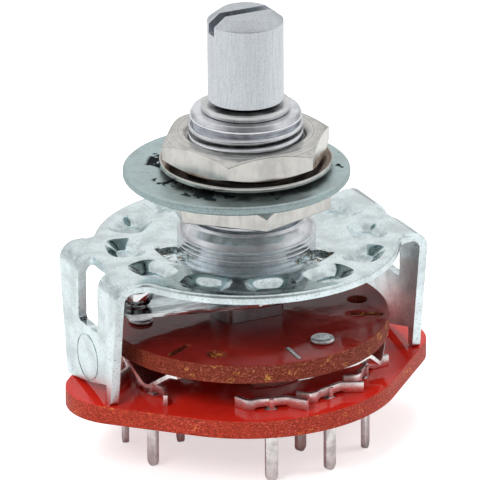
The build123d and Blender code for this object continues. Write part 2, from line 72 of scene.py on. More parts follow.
# %% [markdown]
# ## The camera
# A small part is best shown with a long lens from some way off, because that keeps its circles
# calm and its sides upright. The camera looks down at about 22 degrees, from the front and
# turned by a quarter of the way towards the left leg.

# %% Place the camera
CAMERA_PLACE = Vector((-256.3, -525.5, 234.66)) * MM
CAMERA_TURN, CAMERA_TILT, CAMERA_ROLL = -25.95, 68.12, -0.31    # degrees

lens = bpy.data.cameras.new("camera")
lens.sensor_width = 36.0
lens.lens = 600.0
lens.clip_start, lens.clip_end = 0.05, 10.0
camera = bpy.data.objects.new("camera", lens)
scene.collection.objects.link(camera)
aim = Matrix.Identity(3)
for angle, axis in ((CAMERA_TURN, "Z"), (CAMERA_TILT, "X"), (CAMERA_ROLL, "Z")):
    aim = aim @ Matrix.Rotation(math.radians(angle), 3, axis)
camera.location = CAMERA_PLACE
camera.rotation_euler = aim.to_euler()
scene.camera = camera
scene.view_settings.view_transform = "Standard"
print("camera to shaft:", round(CAMERA_PLACE.length / MM), "mm")

# %% [markdown]
# ## Writing shaders as sums
# A finish is a few patterns added, multiplied and thresholded. Wired by hand that takes dozens
# of Math nodes, so a small class wraps a socket and lets Python's own operators add them.
# Everything that isn't arithmetic comes from one method that takes a node's type, its settings
# and the values or links of its sockets.

# %% A socket that can be calculated with
class Signal:
    """A value on its way through a node tree; + - * and / add Math nodes."""

    def __init__(self, wiring, socket):
        self.wiring, self.socket = wiring, socket

    def math(self, operation, *others, swapped=False):
        """A Math node that starts from this value, or ends with it when swapped."""
        values = (self, *others)
        inputs = dict(enumerate(values[::-1] if swapped else values))
        return self.wiring.node("ShaderNodeMath", {"operation": operation}, inputs)

    def __add__(self, other): return self.math("ADD", other)
    def __sub__(self, other): return self.math("SUBTRACT", other)
    def __rsub__(self, other): return self.math("SUBTRACT", other, swapped=True)
    def __mul__(self, other): return self.math("MULTIPLY", other)
    def __truediv__(self, other): return self.math("DIVIDE", other)
    def __abs__(self): return self.math("ABSOLUTE")
    __radd__, __rmul__ = __add__, __mul__

    def out(self, name):
        """Another output of the same node."""
        return Signal(self.wiring, self.socket.node.outputs[name])

    def band(self, low, high, to_low=0.0, to_high=1.0):
        """A soft step from to_low at low to to_high at high, which may lie either way round."""
        return self.wiring.node(
            "ShaderNodeMapRange",
            {"interpolation_type": "SMOOTHSTEP"},
            {0: self, 1: low, 2: high, 3: to_low, 4: to_high},
        )

    def window(self, rise, full, fall, end):
        """1 between full and fall, fading to 0 at rise and at end."""
        return self.band(rise, full) * self.band(end, fall)


# %% One method for every other node
class Wiring:
    """A node tree under construction, for shaders and geometry alike."""

    def __init__(self, tree):
        self.tree = tree

    def node(self, kind, settings=None, inputs=None):
        """Add a node and return its first output."""
        new = self.tree.nodes.new(kind)
        for key, value in (settings or {}).items():
            setattr(new, key, value)
        for key, value in (inputs or {}).items():
            if isinstance(value, Signal):
                self.tree.links.new(value.socket, new.inputs[key])
            else:
                new.inputs[key].default_value = value
        shown = [socket for socket in new.outputs if socket.enabled]
        return Signal(self, shown[0]) if shown else None


# %% A finish: one material and the patterns it is made of
class Finish(Wiring):
    """A material under construction, with its Principled shader."""

    def __init__(self, name, **constants):
        self.material = bpy.data.materials.new(name)
        self.material.use_nodes = True
        super().__init__(self.material.node_tree)
        self.shader = self.tree.nodes["Principled BSDF"]
        for socket, value in constants.items():
            self.shader.inputs[socket.replace("_", " ")].default_value = value

    def feed(self, **links):
        """Connect signals to sockets of the shader."""
        for socket, signal in links.items():
            self.tree.links.new(signal.socket, self.shader.inputs[socket.replace("_", " ")])
        return self.material

    def place(self):
        """The point on the piece, in metres."""
        return self.node("ShaderNodeTexCoord").out("Object")

    def stretched(self, x, y, z):
        """The point with each axis scaled, for patterns with a grain."""
        return self.node("ShaderNodeMapping", None, {"Vector": self.place(), "Scale": (x, y, z)})

    def noise(self, size_mm, detail=2.0, rough=0.5, vector=None, seed=0.0):
        """Clouds whose lumps are about size_mm across, from 0 to 1."""
        inputs = {
            "Vector": vector or self.place(), "W": seed, "Scale": 1 / (size_mm * MM),
            "Detail": detail, "Roughness": rough,
        }
        return self.node("ShaderNodeTexNoise", {"noise_dimensions": "4D"}, inputs)

    def mix(self, factor, first, second):
        """Blend two colours."""
        return self.node(
            "ShaderNodeMix", {"data_type": "RGBA"},
            {0: factor, 6: self.color(first), 7: self.color(second)},
        )

    @staticmethod
    def color(value):
        """Give a plain colour its alpha, and pass a signal on."""
        return value if isinstance(value, Signal) else (*value, 1.0)

    def bump(self, height, depth_mm, under=None):
        """Turn a 0 to 1 height into dents of the given depth."""
        inputs = {"Height": height, "Strength": 1.0, "Distance": depth_mm * MM}
        if under:
            inputs["Normal"] = under
        return self.node("ShaderNodeBump", None, inputs)


# %% Shades of a tint, and places measured round the shaft
def shade(tint, factor):
    """A lighter or darker version of a colour."""
    return tuple(min(1.0, channel * factor) for channel in tint)


def from_axis(finish):
    """Distance from the shaft's axis, in mm."""
    flat = finish.stretched(1 / MM, 1 / MM, 0.0)
    return finish.node("ShaderNodeVectorMath", {"operation": "LENGTH"}, {0: flat}).out("Value")


def height(finish):
    """Height above the index plate, in mm."""
    return finish.node("ShaderNodeSeparateXYZ", None, {0: finish.place()}).out("Z") / MM


def facing_up(finish):
    """1 on faces that look up or down, 0 on upright ones."""
    normal = finish.node("ShaderNodeTexCoord").out("Normal")
    up = finish.node("ShaderNodeSeparateXYZ", None, {0: normal}).out("Z")
    return abs(up).band(0.45, 0.8)


# %% [markdown]
# ## Bright zinc
# The index plate is stamped from steel sheet and plated with zinc, which leaves a cold, bluish
# mirror. The mirror is never clean: the plating grows in tiny grains, the rolls of the mill
# leave low waves, and handling leaves fine scratches. Grains and waves go into a bump, because
# a mirror shows the slope of its surface far more than its colour.

# %% Plating grains and scratches
STREAK_EDGE = 0.06                      # how softly a scratch starts, in noise
WAVE_DEPTH, GRAIN_DEPTH = 0.02, 0.0025  # mm
UPRIGHT_ROUGH = 0.26                    # sheared and bent faces are duller than the flat


def scratches(finish, length_mm, width_mm, turn, keep=0.66):
    """Thin streaks in one direction, from 0 to 1."""
    mapping = finish.node(
        "ShaderNodeMapping", None,
        {"Vector": finish.place(), "Rotation": (0.4, 0.3, math.radians(turn)),
         "Scale": (width_mm / length_mm, 1.0, 1.0)},
    )
    streaks = finish.noise(width_mm, 1.0, 0.5, mapping, seed=turn)
    return streaks.band(keep, keep + STREAK_EDGE)


def bright_zinc(name, tint, rough, grain_mm, wave_mm, marks_and_shade):
    """Zinc plating on sheet steel; the last argument returns a mask and the colour under it, for
    real marks and for painted shade.
    """
    zinc = Finish(name, Metallic=1.0)
    cloud = zinc.noise(2.2, 4.0, 0.6)
    speckle = zinc.noise(0.16, 3.0, 0.75, seed=14.0)
    grain = zinc.noise(grain_mm, 2.0, 0.7, seed=3.0)
    pits = zinc.noise(0.22, 2.0, 0.6, seed=8.0).band(0.34, 0.25)
    upright = facing_up(zinc).band(0.3, 0.0)
    color = zinc.mix(cloud.band(0.35, 0.62), shade(tint, 0.80), shade(tint, 1.08))
    color = zinc.mix(speckle.band(0.46, 0.34) * (0.55 + upright * 0.4), color, shade(tint, 0.5))
    color = zinc.mix(pits, color, shade(tint, 0.35))
    mark_and_shade_mask, stain = marks_and_shade(zinc)
    # real marks, and on the plate also painted shade low in the hollows
    color = zinc.mix(mark_and_shade_mask, color, stain)
    marks = scratches(zinc, 3.0, 0.05, 35.0) + scratches(zinc, 2.0, 0.04, -50.0)
    waves = zinc.noise(wave_mm, 1.0, 0.4, seed=5.0)
    dents = zinc.bump(waves, WAVE_DEPTH)
    dents = zinc.bump(grain - pits * 0.8 - marks * 0.5, GRAIN_DEPTH, dents)
    return zinc.feed(
        Base_Color=color,
        Roughness=(cloud.band(0.3, 0.7, rough * 0.7, rough * 1.4) + pits * 0.2
                   + mark_and_shade_mask.band(0.45, 0.9) * 0.4 + upright * UPRIGHT_ROUGH),
        Normal=dents,
    )


def rust_marks(zinc):
    """Dark, torn marks where the lock washer bit into the flat one."""
    ring = from_axis(zinc)
    spot = zinc.node("ShaderNodeSeparateXYZ", None, {0: zinc.place()})
    left = (spot.out("X") / MM).band(-3.2, -5.2)
    ragged = zinc.noise(1.7, 3.0, 0.55, seed=21.0)
    near = ring.window(6.0, 6.4, 7.7, 8.1)
    torn = (ragged + left * 0.10).band(0.61, 0.635) * near
    few = zinc.noise(0.6, 3.0, 0.6, seed=27.0).band(0.73, 0.75)
    mask = torn.math("MAXIMUM", few) * facing_up(zinc)
    return mask, (0.035, 0.045, 0.05)


def burrs_and_hollow_shade(zinc):
    """Oily metal dust round the three staking pockets, and painted shade low in the hollows."""
    ring = from_axis(zinc)
    spot = zinc.node("ShaderNodeSeparateXYZ", None, {0: zinc.place()})
    angle = spot.out("Y").math("ARCTAN2", spot.out("X"))
    third = (angle / math.radians(120) + 1.0).math("FRACT")     # each pocket lies at 0.5
    near = abs(third - 0.5).band(0.17, 0.11) * ring.window(5.3, 5.5, 6.9, 7.6)
    crumbs = zinc.noise(0.3, 3.0, 0.8, seed=31.0).band(0.50, 0.56)
    gold = zinc.noise(0.22, 1.0, 0.5, seed=33.0).band(0.52, 0.60)
    burrs = near * crumbs
    # painted shade: darker low in the hollows, on their floors and gentle walls
    low = height(zinc).band(-0.10, -0.50) * ring.band(7.8, 8.0) * facing_up(zinc).band(0.0, 0.3)
    hollow_shade = zinc.noise(0.9, 3.0, 0.6, seed=37.0).band(0.38, 0.62, 0.0, 0.45) * low
    # near black with gold flecks is the painted shade in the hollows; the grey is the burrs' dust
    stain = zinc.mix(gold, (0.05, 0.07, 0.08), (0.75, 0.52, 0.22))
    stain = zinc.mix(burrs, (0.16, 0.21, 0.23), stain)
    return burrs.math("MAXIMUM", hollow_shade), stain


def rolled_steel(name, tint, rough):
    """Polished spring strip with the long streaks of the roll."""
    strip = Finish(name, Metallic=1.0)
    run = strip.noise(0.9, 2.0, 0.5, strip.stretched(0.16, 1.0, 1.0))
    fine = strip.noise(0.12, 2.0, 0.7, strip.stretched(0.08, 1.0, 1.0), seed=4.0)
    color = strip.mix((run * 0.7 + fine * 0.3).band(0.40, 0.58), shade(tint, 0.45), tint)
    return strip.feed(
        Base_Color=color, Roughness=run.band(0.3, 0.7, rough * 1.5, rough * 0.7),
        Normal=strip.bump(run + fine * 0.06, 0.05),
    )


# %% [markdown]
# ## Turned metal
# The bushing, the shaft and the nuts come off a lathe. A turned face keeps the path of the tool
# as fine rings, so its pattern depends on the height along the axis, or on a flat face on the
# distance from it. The shaft was also drawn or brushed lengthwise, so its grain runs up it.

# %% Rings left by the tool
def tool_rings(finish, step_mm):
    """Fine rings round the shaft's axis on upright and on flat faces."""
    along = height(finish) + from_axis(finish)
    return finish.node(
        "ShaderNodeTexNoise", {"noise_dimensions": "1D"},
        {"W": along, "Scale": 1 / step_mm, "Detail": 3.0, "Roughness": 0.7},
    )


DISH_Z = (6.0, 6.1, 6.92, 6.98)     # mm, the heights of the lock washer
DISH_R = (6.62, 6.78)               # mm, inside its rim
OIL = (0.20, 0.12, 0.07)


def turned_metal(name, tint, rough, step_mm, depth_mm, speckle=0.3, drawn_sides=False):
    """A lathe-turned and plated metal, or hexagon bar with drawn sides."""
    metal = Finish(name, Metallic=1.0)
    rings = tool_rings(metal, step_mm)
    if drawn_sides:
        drawn = metal.noise(0.8, 3.0, 0.6, metal.stretched(1.0, 1.0, 0.3), seed=11.0)
        flat = facing_up(metal)
        rings = rings * flat + drawn * (1 - flat)
    cloud = metal.noise(1.6, 3.0, 0.6)
    speck = metal.noise(0.12, 2.0, 0.7, seed=2.0)
    stain = metal.noise(0.7, 4.0, 0.75, seed=6.0).band(0.36, 0.24)
    color = metal.mix(
        (cloud * 0.6 + rings * 0.4).band(0.38, 0.6), shade(tint, 0.78), shade(tint, 1.06)
    )
    color = metal.mix(stain * 0.6, color, shade(tint, 0.4))
    if drawn_sides:         # nuts and lock washer share this finish, and the dish holds oil
        dish = height(metal).window(*DISH_Z) * from_axis(metal).band(*DISH_R[::-1])
        color = metal.mix(dish * facing_up(metal) * 0.85, color, OIL)
    surface = metal.bump(rings, depth_mm)
    surface = metal.bump(speck, depth_mm * speckle, surface)
    return metal.feed(
        Base_Color=color,
        Roughness=cloud.band(0.3, 0.7, rough * 0.75, rough * 1.3),
        Normal=surface,
    )


# %% The brushed shaft
GROOVE_Z = (10.8, 10.9, 11.85, 11.95)   # mm, the heights of the retaining ring's groove
GROOVE_R = (2.60, 2.75)                 # mm, between the groove's floor and the shaft's side
# painted shade: near black for the groove under the shaft's end
GROOVE_SHADE = (0.02, 0.02, 0.022)


def brushed_shaft(name, tint, rough):
    """Light metal brushed along the shaft, with painted shade in the ring's groove."""
    metal = Finish(name, Metallic=1.0)
    grain = metal.noise(0.09, 3.0, 0.7, metal.stretched(1.0, 1.0, 0.045))
    coarse = metal.noise(0.35, 2.0, 0.6, metal.stretched(1.0, 1.0, 0.08), seed=4.0)
    speck = metal.noise(0.14, 2.0, 0.7, seed=7.0)
    color = metal.mix((grain * 0.6 + coarse * 0.4).band(0.36, 0.62), shade(tint, 0.80), tint)
    color = metal.mix(speck.band(0.50, 0.34) * 0.40, color, shade(tint, 0.5))
    # painted shade: the groove is painted near black where the shaft's end shades it
    groove = from_axis(metal).band(*GROOVE_R[::-1]) * height(metal).window(*GROOVE_Z)
    color = metal.mix(groove, color, GROOVE_SHADE)
    return metal.feed(
        Base_Color=color,
        Roughness=coarse.band(0.3, 0.7, rough * 0.85, rough * 1.2),
        Normal=metal.bump(grain + speck * 0.5, 0.008),
    )


# %% [markdown]
# ## Phenolic board
# Rotor and wafer are punched from board: paper soaked in phenolic resin and pressed under heat.
# The faces take the mirror of the press plates, and the punch tears the edges, where the paper's
# fibres show as pale and golden flecks. So the shader asks each point whether it faces up or
# outwards, and mixes the glossy face with the rough edge.

# %% Board with a pressed face and a torn edge
def phenolic(name, face, face_deep, edge, fleck, edge_rough, fleck_size, fleck_low, spec):
    """Pressed board whose edge shows its fibres."""
    board = Finish(name, IOR=1.4, Specular_IOR_Level=spec)
    cloud = board.noise(4.0, 4.0, 0.6)
    fine = board.noise(0.5, 3.0, 0.6, seed=2.0)
    flat = facing_up(board)
    top = board.mix((cloud * 0.7 + fine * 0.3).band(0.35, 0.65), face_deep, face)
    layers = board.stretched(1.0, 1.0, 1.6)
    fibre = board.noise(fleck_size, 4.0, 0.8, layers, seed=5.0)
    coarse = board.noise(1.3, 2.0, 0.5, layers, seed=9.0)
    torn = board.mix(fibre.band(0.40, 0.60), shade(edge, 0.40), edge)
    pale = (fibre * 0.85 + cloud * 0.15).band(0.55, 0.66)
    torn = board.mix(pale, torn, tuple(c * 0.9 + 0.16 for c in edge))
    clusters = coarse.band(fleck_low, fleck_low + 0.08) * fibre.band(0.50, 0.58)
    torn = board.mix(clusters, torn, fleck)
    dust = board.noise(0.16, 2.0, 0.8, seed=12.0).band(0.70, 0.76)
    color = board.mix(flat, torn, board.mix(dust * 0.35, top, fleck))
    rough = flat.band(0.0, 1.0, edge_rough, 0.0) + flat * (0.05 + 0.10 * fine.band(0.4, 0.7))
    grain = board.bump(fibre * (1 - flat) + fine * 0.04, 0.05)
    ripple = board.bump(cloud, 0.05, grain)
    return board.feed(Base_Color=color, Roughness=rough, Normal=ripple)


# %% [markdown]
# ## Contacts and rivets
# The contacts are thin brass, silver plated and bent cold, so they are bright with soft dents.
# The rivets are pressed over by a punch, which leaves a matt, pocked head.

# %% Silver and tin
def thin_plating(name, tint, rough, lump_mm, dent_mm):
    """Soft, slightly dented plating on small pressed parts."""
    metal = Finish(name, Metallic=1.0)
    lumps = metal.noise(lump_mm, 3.0, 0.6)
    speck = metal.noise(0.1, 2.0, 0.7, seed=3.0)
    color = metal.mix(lumps.band(0.32, 0.6), shade(tint, 0.72), tint)
    return metal.feed(
        Base_Color=color,
        Roughness=lumps.band(0.3, 0.7, rough * 1.3, rough * 0.7),
        Normal=metal.bump(speck, dent_mm * 0.3, metal.bump(lumps, dent_mm)),
    )


# %% All the finishes, by the record's slot names
FINISHES = {
    "plate_zinc": bright_zinc("plate_zinc", (0.78, 0.88, 0.90), 0.06, 0.13, 1.8, burrs_and_hollow_shade),
    "washer_zinc": bright_zinc("washer_zinc", (0.54, 0.65, 0.66), 0.42, 0.10, 2.5, rust_marks),
    "bushing_zinc": turned_metal("bushing_zinc", (0.78, 0.80, 0.84), 0.20, 0.11, 0.006),
    "nut_nickel": turned_metal(
        "nut_nickel", (0.64, 0.63, 0.60), 0.20, 0.16, 0.003, 1.0, drawn_sides=True
    ),
    "shaft_aluminium": brushed_shaft("shaft_aluminium", (0.70, 0.74, 0.78), 0.34),
    "ring_steel": turned_metal("ring_steel", (0.80, 0.81, 0.81), 0.34, 0.2, 0.004, 1.0),
    "spring_steel": rolled_steel("spring_steel", (0.66, 0.67, 0.68), 0.12),
    "ball_steel": thin_plating("ball_steel", (0.85, 0.85, 0.86), 0.06, 1.0, 0.002),
    "dark_phenolic": phenolic(
        "dark_phenolic", (0.27, 0.016, 0.010), (0.18, 0.010, 0.007),
        (0.28, 0.046, 0.023), (0.76, 0.36, 0.09), 0.62, 0.17, 0.55, spec=0.22,
    ),
    "red_phenolic": phenolic(
        "red_phenolic", (0.62, 0.022, 0.012), (0.52, 0.016, 0.009),
        (0.56, 0.045, 0.016), (0.78, 0.24, 0.06), 0.50, 0.20, 0.58, spec=0.42,
    ),
    "silver_contact": thin_plating("silver_contact", (0.96, 0.93, 0.92), 0.34, 0.8, 0.02),
    "rivet_tin": thin_plating("rivet_tin", (0.80, 0.80, 0.80), 0.34, 0.3, 0.03),
}
print(len(FINISHES), "finishes")

# %% [markdown]
# ## Broken edges
# No edge on a real part is perfectly sharp: a press rolls it, a deburring tool breaks it and
# plating fills it. That narrow round is what catches the light. Each plain solid is copied, its
# loose triangles are merged into one clean surface, and a Bevel modifier rounds every edge that
# turns by more than 30 degrees. Two kinds of piece are merged only: the balls have no edge, and
# the wipers' thin sheet is too finely divided at its folds to leave room for a round.

# %% Which slot and body each node belongs to
SLOT_OF = {part["node"]: part["material_slot"] for part in frame["record"]["subparts"]}
BODY_OF = {
    node: body for body, nodes in frame["record"]["behaviour"]["bodies"].items() for node in nodes
}


def adopt(piece, *nodes):
    """Let a finished piece stand for CAD nodes: their body, slot and finish."""
    slot = SLOT_OF[nodes[0]]
    if not piece.data.materials:
        piece.data.materials.append(None)
    piece.data.materials[0] = FINISHES[slot]
    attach(piece, BODY_OF[nodes[0]])
    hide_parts(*nodes)


def new_piece(name, mesh):
    """Put a mesh into the scene."""
    piece = bpy.data.objects.new(name, mesh)
    scene.collection.objects.link(piece)
    return piece


# %% A copy with broken edges
EDGE_ANGLE = math.radians(30)
FLAT_ANGLE = math.radians(0.6)      # flatter than this, triangles join into one face
MERGE = 0.001 * MM


def softened(node, round_mm=0.0, steps=3, carve=None):
    """A merged copy of a CAD node, carved if asked, with its sharp edges rounded."""
    form = bmesh.new()
    form.from_mesh(frame["nodes"][node].data)
    bmesh.ops.remove_doubles(form, verts=form.verts, dist=MERGE)
    bmesh.ops.dissolve_degenerate(form, dist=MERGE, edges=form.edges)
    if carve:
        carve(form)
    bmesh.ops.dissolve_limit(form, angle_limit=FLAT_ANGLE, verts=form.verts, edges=form.edges)
    for face in form.faces:
        face.smooth = True
    for edge in form.edges:     # without a round, a sharp edge stays sharp in the shading too
        edge.smooth = bool(round_mm) or edge.calc_face_angle(0.0) < EDGE_ANGLE
    mesh = bpy.data.meshes.new(node + "_soft")
    form.to_mesh(mesh)
    form.free()
    piece = new_piece(node + "_soft", mesh)
    if round_mm:
        bevel = piece.modifiers.new("broken edges", "BEVEL")
        bevel.width, bevel.segments = round_mm * MM, steps
        bevel.limit_method, bevel.angle_limit = "ANGLE", EDGE_ANGLE
        bevel.miter_outer = "MITER_ARC"
    weighted = piece.modifiers.new("flat faces stay flat", "WEIGHTED_NORMAL")
    weighted.keep_sharp = True
    adopt(piece, node)
    return piece


BEARING_R, STEEPER = 5.8, 0.5       # mm, and extra fall for each mm of radius


def steepen_chamfer(form):
    """Turn more off the backing nut's upper corners, so that light gets under the washer."""
    middle = sum(vert.co.z for vert in form.verts) / len(form.verts)
    for vert in form.verts:
        beyond = math.hypot(vert.co.x, vert.co.y) - BEARING_R * MM
        if vert.co.z > middle and beyond > 0:
            vert.co.z -= STEEPER * beyond


softened("backing_nut", 0.16, carve=steepen_chamfer)
EDGE_ROUNDS = {             # mm
    "panel_nut": 0.30, "flat_washer": 0.05, "lock_washer": 0.08, "shaft": 0.08,
    "retaining_ring": 0.08, "detent_spring": 0.05, "rotor_disc": 0.12,
}
for node, round_mm in EDGE_ROUNDS.items():
    piece = softened(node, round_mm)
    print(piece.name, len(piece.data.polygons), "faces before rounding")
for node in ("wiper_1", "wiper_2", "wiper_3", "detent_ball_1", "detent_ball_2"):
    softened(node)


LINE_Z, LINE_REACH = -10.9 * MM, 0.08 * MM


def close_line(form):
    """Close the hairline round the wafer's edge, so that one round can run over it."""
    line = [vert for vert in form.verts if abs(vert.co.z - LINE_Z) < LINE_REACH / 2]
    bmesh.ops.remove_doubles(form, verts=line, dist=LINE_REACH)
    print("wafer line:", len(line), "points merged")


softened("stator_wafer", 0.22, 4, close_line)

# %% [markdown]
# ## The detent hollows
# A punch presses twelve hollows into the plate, which bulge below it. At each position the two
# balls lie between these bulges. Sheet that is drawn down like this has no facets: its walls
# run in one sweep from the floor up to the rim, and in a mirror finish every facet would show.
# So the plate's flat top is taken off the copy, twelve finely divided hollows are set in, and
# the flat sheet between them and the plate's outline is filled again.

# %% One hollow as a polar net
HOLLOWS, HOLLOW_R, HOLLOW_DEEP = 12, 9.7, 0.66              # mm
HOLLOW_HALF = (1.53, 2.00)                                  # across and along the circle
HOLLOW_SQUARE = 3.0         # 2 is an ellipse, more is squarer
HOLLOW_FLOOR = (0.42, 0.58) # size of the floor as a share of the rim's
HOLLOW_EASE = 0.12          # how softly the wall starts and ends
NET_ROUND, NET_OUT = 56, 12
CAD_HOLLOW_DEEP = 0.55      # the plain hollows lie above this depth
HOLLOW_MARGIN = 0.1         # taken off round each plain hollow
TOP_FLAT, TOP_UP = 1e-3, 0.999          # what counts as the flat top: height, and upward normal


def hollow_net(form, turn):
    """Add one hollow at an angle round the shaft."""
    power = 2 / HOLLOW_SQUARE
    place = Matrix.Rotation(turn, 4, "Z") @ Matrix.Translation((HOLLOW_R * MM, 0, 0))
    rings = []
    for k in range(1, NET_OUT + 1):
        rise = (k - 1) / (NET_OUT - 1)
        wide, long = (half * (floor + (1 - floor) * rise)
                      for half, floor in zip(HOLLOW_HALF, HOLLOW_FLOOR))
        rise -= HOLLOW_EASE * math.sin(math.tau * rise) / math.tau
        ring = []
        for step in range(NET_ROUND):
            angle = math.tau * step / NET_ROUND
            x = math.copysign(abs(math.cos(angle)) ** power, math.cos(angle))
            y = math.copysign(abs(math.sin(angle)) ** power, math.sin(angle))
            spot = Vector((wide * x, long * y, HOLLOW_DEEP * (rise - 1))) * MM
            ring.append(form.verts.new(place @ spot))
        rings.append(ring)
    form.faces.new(rings[0])
    for inner, outer in zip(rings, rings[1:]):
        for k in range(NET_ROUND):
            after = (k + 1) % NET_ROUND
            form.faces.new((inner[k], outer[k], outer[after], inner[after]))


def set_in_hollows(form):
    """Swap the plate's flat top and its plain hollows for finer ones."""
    across, along = HOLLOW_HALF
    step = math.tau / HOLLOWS

    def belongs_to_top(face):
        """True on the flat top and in the plain hollows."""
        spot = face.calc_center_median() / MM
        reach = math.hypot(spot.x, spot.y)
        aside = (math.atan2(spot.y, spot.x) / step) % 1 - 0.5
        in_hollow = (
            abs(reach - HOLLOW_R) < across + HOLLOW_MARGIN
            and abs(aside * step * HOLLOW_R) < along + HOLLOW_MARGIN
            and spot.z > -CAD_HOLLOW_DEEP
        )
        return in_hollow or (abs(spot.z) < TOP_FLAT and face.normal.z > TOP_UP)

    doomed = [face for face in form.faces if belongs_to_top(face)]
    bmesh.ops.delete(form, geom=doomed, context="FACES")
    for k in range(HOLLOWS):
        hollow_net(form, (k + 0.5) * step)
    rims = [edge for edge in form.edges if len(edge.link_faces) == 1]
    bmesh.ops.triangle_fill(form, edges=rims, use_beauty=True, normal=(0, 0, 1))
    bmesh.ops.recalc_face_normals(form, faces=form.faces)
    open_edges = sum(1 for edge in form.edges if len(edge.link_faces) != 2)
    print("plate top refilled:", len(doomed), "faces out,", open_edges, "open edges")


softened("index_plate", 0.16, 4, set_in_hollows)

# %% [markdown]
# ## The screw thread
# The bushing carries an M9 thread with a pitch of 0.75 mm. A thread is one ridge wound round a
# plain barrel, which is just what Geometry Nodes do well: a spiral curve carries a trapezoid
# section. The section shrinks at both ends of the spiral, because a real thread runs out.

# %% A geometry tree with named inputs
SOCKET_TYPES = {float: "NodeSocketFloat", int: "NodeSocketInt"}


class Growth(Wiring):
    """A Geometry Nodes tree under construction."""

    def __init__(self, name, **inputs):
        super().__init__(bpy.data.node_groups.new(name, "GeometryNodeTree"))
        face = self.tree.interface
        face.new_socket("Geometry", in_out="INPUT", socket_type="NodeSocketGeometry")
        face.new_socket("Geometry", in_out="OUTPUT", socket_type="NodeSocketGeometry")
        for title, value in inputs.items():
            kind = SOCKET_TYPES.get(type(value), "NodeSocketMaterial")
            socket = face.new_socket(title, in_out="INPUT", socket_type=kind)
            if kind != "NodeSocketMaterial":
                socket.default_value = value
        self.inlet = self.tree.nodes.new("NodeGroupInput")
        self.outlet = self.tree.nodes.new("NodeGroupOutput")

    def given(self, title):
        """One of the tree's own named inputs."""
        return Signal(self, self.inlet.outputs[title])

    def vector(self, x, y, z):
        """Three numbers as one vector."""
        return self.node("ShaderNodeCombineXYZ", None, {0: x, 1: y, 2: z})

    def ends_with(self, geometry):
        """Close the tree: real meshes, with the given material."""
        real = self.node("GeometryNodeRealizeInstances", None, {0: geometry})
        coloured = self.node(
            "GeometryNodeSetMaterial", None, {"Geometry": real, "Material": self.given("Finish")}
        )
        self.tree.links.new(coloured.socket, self.outlet.inputs[0])
        return self.tree


def grown(name, tree, nodes, start=None, **values):
    """Run a tree once and keep its result as a plain mesh for some CAD nodes."""
    piece = new_piece(name, start or bpy.data.meshes.new(name))
    modifier = piece.modifiers.new("grow", "NODES")
    modifier.node_group = tree
    values["Finish"] = FINISHES[SLOT_OF[nodes[0]]]
    for socket in tree.interface.items_tree:
        if socket.in_out == "INPUT" and socket.name in values:
            modifier[socket.identifier] = values[socket.name]
    ready = piece.evaluated_get(bpy.context.evaluated_depsgraph_get())
    result = bpy.data.meshes.new_from_object(ready)
    result.name = name
    piece.modifiers.remove(modifier)
    piece.data = result
    adopt(piece, *nodes)
    print(name, len(result.polygons), "faces")
    return piece


# %% The thread's tree
RUN_OUT = 1.6       # the thread rises to its full height over 1 / 1.6 of a turn


def thread_tree():
    """A trapezoid section carried along a helix."""
    thread = Growth(
        "screw_thread", Inner=4.16 * MM, Outer=4.5 * MM, Pitch=0.75 * MM, Start=2.4 * MM,
        Turns=10.0, Base=0.66 * MM, Crest=0.16 * MM, Finish=None,
    )
    middle = (thread.given("Inner") + thread.given("Outer")) / 2
    rise = thread.given("Pitch") * thread.given("Turns")
    helix = thread.node("GeometryNodeCurveSpiral", None, {
        "Resolution": 64, "Rotations": thread.given("Turns"),
        "Start Radius": middle, "End Radius": middle,
        "Height": rise, "Reverse": True,
    })
    helix = thread.node("GeometryNodeSetPosition", None, {
        "Geometry": helix, "Offset": thread.vector(0.0, 0.0, thread.given("Start")),
    })
    along = thread.node("GeometryNodeSplineParameter").out("Factor") * thread.given("Turns")
    from_end = thread.given("Turns") - along
    run_out = (along * RUN_OUT).math("MINIMUM", 1.0).math("MINIMUM", from_end * RUN_OUT)
    helix = thread.node("GeometryNodeSetCurveRadius", None, {"Curve": helix, "Radius": run_out})
    helix = thread.node("GeometryNodeSetCurveNormal", {"mode": "Z_UP"}, {0: helix})
    section = thread.node("GeometryNodeCurvePrimitiveQuadrilateral", {"mode": "TRAPEZOID"}, {
        "Bottom Width": thread.given("Base"), "Top Width": thread.given("Crest"),
        "Offset": 0.0, "Height": thread.given("Outer") - thread.given("Inner"),
    })
    section = thread.node("GeometryNodeTransform", None, {
        "Geometry": section, "Rotation": (0.0, 0.0, math.radians(90)),
    })
    ridge = thread.node("GeometryNodeCurveToMesh", None, {
        "Curve": helix, "Profile Curve": section, "Fill Caps": True,
    })
    return thread.ends_with(ridge)


# %% [markdown]
# ## The bushing's barrel
# Everything that a lathe makes is a profile turned round an axis, so one function spins a list
# of radius and height points into a closed mesh. A second one rounds the profile's corners
# first, with an arc that fits between the two neighbouring edges.

# %% Round corners and spin
def rounded(points, radius, steps=4):
    """Replace each corner of a closed profile by a small arc."""
    result = []
    count = len(points)
    for k, corner in enumerate(points):
        here = Vector(corner)
        before = Vector(points[k - 1]) - here
        after = Vector(points[(k + 1) % count]) - here
        reach = min(radius, before.length * 0.45, after.length * 0.45)
        if corner[0] == 0 or reach < 1e-4:
            result.append(tuple(here))
            continue
        first, last = here + before.normalized() * reach, here + after.normalized() * reach
        for step in range(steps + 1):
            t = step / steps
            result.append(tuple(first * (1 - t) ** 2 + here * 2 * t * (1 - t) + last * t * t))
    return result


